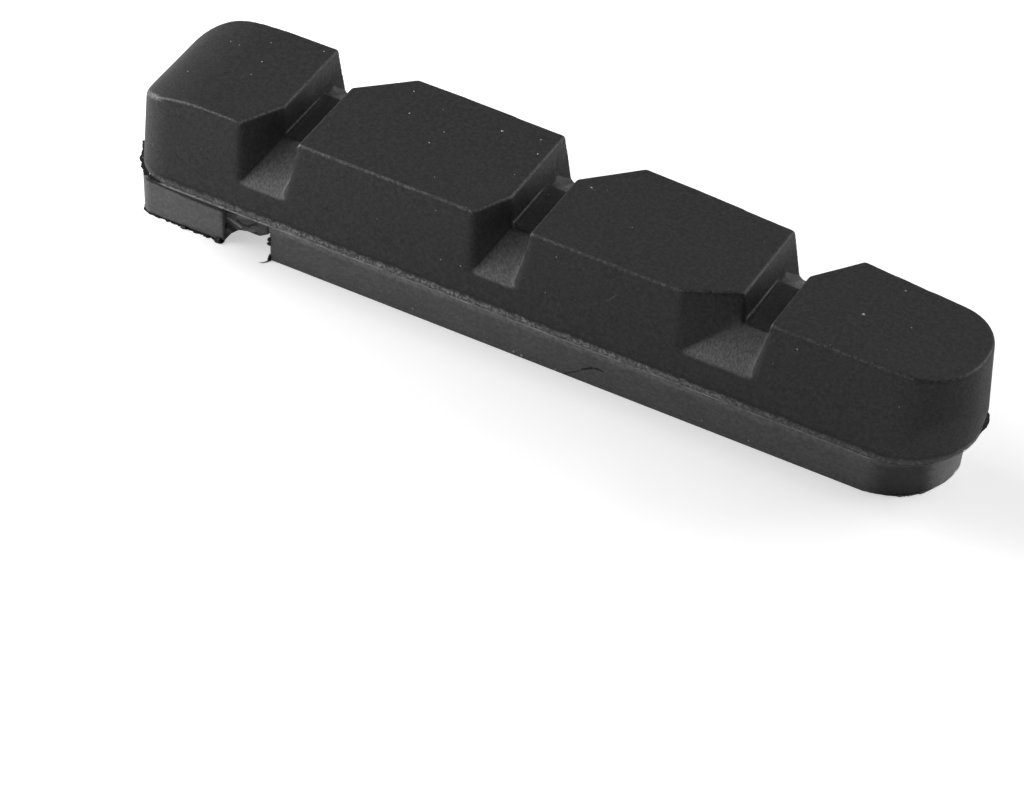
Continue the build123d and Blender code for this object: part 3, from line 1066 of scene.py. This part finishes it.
# dust: the specks seen in the photograph, and a sparse scatter of finer ones
dust = {
    # place, radius
    "seen": [
        ((-30.9, 2.6, 14), 0.06), ((-27.4, 1.4, 14), 0.06), ((-31.9, -2.0, 13.4), 0.06),
        ((-24.0, 5.0, 14), 0.06), ((-27.3, -0.4, 14), 0.05), ((-28.0, 3.8, 14), 0.05),
        ((-30.0, 2.4, 14), 0.05), ((-14.7, 1.8, 14), 0.07), ((-11.4, 1.2, 14), 0.06),
        ((-7.7, 3.6, 14), 0.1), ((-4.7, 4.2, 14), 0.07), ((-4.1, 2.6, 14), 0.07),
        ((-11.7, -0.5, 14), 0.06), ((-15.7, 4.3, 14), 0.06), ((1.2, 1.2, 14), 0.07),
        ((24.9, -1.3, 14), 0.12), ((26.4, 2.7, 14), 0.07), ((-7.4, -6.1, 8.5), 0.06),
        ((-5.7, -6.1, 8.6), 0.06), ((21.9, -5.9, 12.8), 0.07), ((14.17, -4.18, 0.9), 0.07),
        ((18.07, -4.16, 0.68), 0.07), ((-1.83, -4.14, 0.43), 0.09), ((-1.14, -4.14, 0.34), 0.11),
        ((1.75, -4.14, 0.24), 0.07), ((-10.61, -4.14, 0.79), 0.07),
    ],
    "length": 1.3,
    "flatness": 0.5,
    "density": 60000,
    "smallest": 0.018 * mm,
    "largest": 0.05 * mm,
    "seed": 4,
    "grain": 9.0,  # per mm
    "tones": (0.2, 0.5),
    "roughness": 0.85,
}


def makeDust():
    surface = BVHTree.FromBMesh(padShape)
    specks = []
    for place, radius in dust["seen"]:
        spot, outward = surface.find_nearest(Vector(place) * mm)[:2]
        turn = outward.to_track_quat("Z", "Y").to_euler()
        specks.append((spot / mm, (radius * dust["length"], radius, radius * dust["flatness"]), turn))
    material, tree, shader, place = newMaterial("paleDust")
    dark, light = dust["tones"]
    grain = noise(tree, place, dust["grain"])
    feed(tree, shader.inputs["Base Color"], blendColour(tree, grain, grey(dark), grey(light)))
    shader.inputs["Roughness"].default_value = dust["roughness"]
    growPiece("dustSeen", lumpMesh("dustSeen", specks), lumpTree, {}, material)
    speckValues = pick(dust, "density", "smallest", "largest", "seed")
    growPiece("dustFine", pad.data.copy(), speckTree, speckValues, material)


makeDust()


# camera, placed by the photograph's view
viewPoint = {
    "aim": (-0.295, -7.123, -0.850),
    "distance": 389.1,
    "azimuth": 26.2316,
    "elevation": 41.5504,
    "roll": 3.3702,
    "focalPixels": 5159.2,
    "imageWidth": 1024,
    "sensorWidth": 36.0,
    "nearest": 0.01,
}


def makeCamera():
    turn = math.radians(viewPoint["azimuth"])
    lift = math.radians(viewPoint["elevation"])
    lean = math.radians(viewPoint["roll"])
    level = Vector((math.cos(turn), math.sin(turn), 0))
    ahead = Vector((-math.sin(turn), math.cos(turn), 0))
    upright = math.sin(lift) * ahead + math.cos(lift) * Vector((0, 0, 1))
    back = -math.cos(lift) * ahead + math.sin(lift) * Vector((0, 0, 1))
    right = math.cos(lean) * level + math.sin(lean) * upright
    top = math.cos(lean) * upright - math.sin(lean) * level
    place = (Vector(viewPoint["aim"]) + back * viewPoint["distance"]) * mm
    data = bpy.data.cameras.new("photoView")
    data.sensor_fit = "HORIZONTAL"
    data.sensor_width = viewPoint["sensorWidth"]
    data.lens = viewPoint["focalPixels"] * data.sensor_width / viewPoint["imageWidth"]
    data.clip_start = viewPoint["nearest"]
    camera = linkObject("photoView", data)
    camera.matrix_world = Matrix.Translation(place) @ Matrix((right, top, back)).transposed().to_4x4()
    bpy.context.scene.camera = camera


# soft studio light
studio = {
    "world": 0.02,
    "lamps": [
        # name, azimuth, elevation, distance, size, watts
        ("leftFrontLow", -45, 15, 0.3, 0.2, 0.21),
        ("left", -90, 25, 0.5, 0.4, 0.45),
        ("leftNear", -80, 30, 0.22, 0.16, 0.45),
        ("backLeft", -140, 35, 0.55, 0.4, 0.1),
        ("back", 180, 40, 0.55, 0.4, 0.26),
        ("backRight", 135, 34, 0.55, 0.4, 1.4),
        ("rightLow", 122, 6, 0.55, 0.3, 0.95),
    ],
}


def makeLights():
    middle = (padLow + padHigh) / 2
    for name, azimuth, elevation, distance, size, watts in studio["lamps"]:
        turn, lift = math.radians(azimuth), math.radians(elevation)
        away = Vector((math.sin(turn) * math.cos(lift), -math.cos(turn) * math.cos(lift), math.sin(lift)))
        data = bpy.data.lights.new(name, "AREA")
        data.shape = "DISK"
        data.size = size
        data.energy = watts
        lamp = linkObject(name, data)
        lamp.location = middle + away * distance
        lamp.rotation_euler = away.to_track_quat("Z", "Y").to_euler()


def makeWorld():
    world = bpy.data.worlds.new("studio")
    world.use_nodes = True
    tree = world.node_tree
    background = tree.nodes["Background"]
    background.inputs["Color"].default_value = grey(1.0)
    isCamera = addNode(tree, "ShaderNodeLightPath").outputs["Is Camera Ray"]
    feed(tree, background.inputs["Strength"], ramp(tree, isCamera, 0.0, 1.0, studio["world"], 1.0))
    bpy.context.scene.world = world


# white paper under the pad
table = {
    "size": 1.6,
    "colour": 0.82,
    "cameraLift": 0.5,  # glow that only the camera sees, so that the paper is white
    "roughness": 0.9,
    "specular": 0.1,
}


def makeTable():
    material, tree, shader = newMaterial("whitePaper")[:3]
    shader.inputs["Base Color"].default_value = grey(table["colour"])
    shader.inputs["Roughness"].default_value = table["roughness"]
    shader.inputs["Specular IOR Level"].default_value = table["specular"]
    isCamera = addNode(tree, "ShaderNodeLightPath").outputs["Is Camera Ray"]
    shader.inputs["Emission Color"].default_value = grey(1.0)
    feed(tree, shader.inputs["Emission Strength"], times(tree, isCamera, table["cameraLift"]))
    shape = bmesh.new()
    bmesh.ops.create_grid(shape, x_segments=1, y_segments=1, size=table["size"] / 2)
    mesh = bpy.data.meshes.new("table")
    shape.to_mesh(mesh)
    shape.free()
    mesh.materials.append(material)
    floor = linkObject("table", mesh)


makeCamera()
makeLights()
makeWorld()
makeTable()
print("camera, lights and table ready")
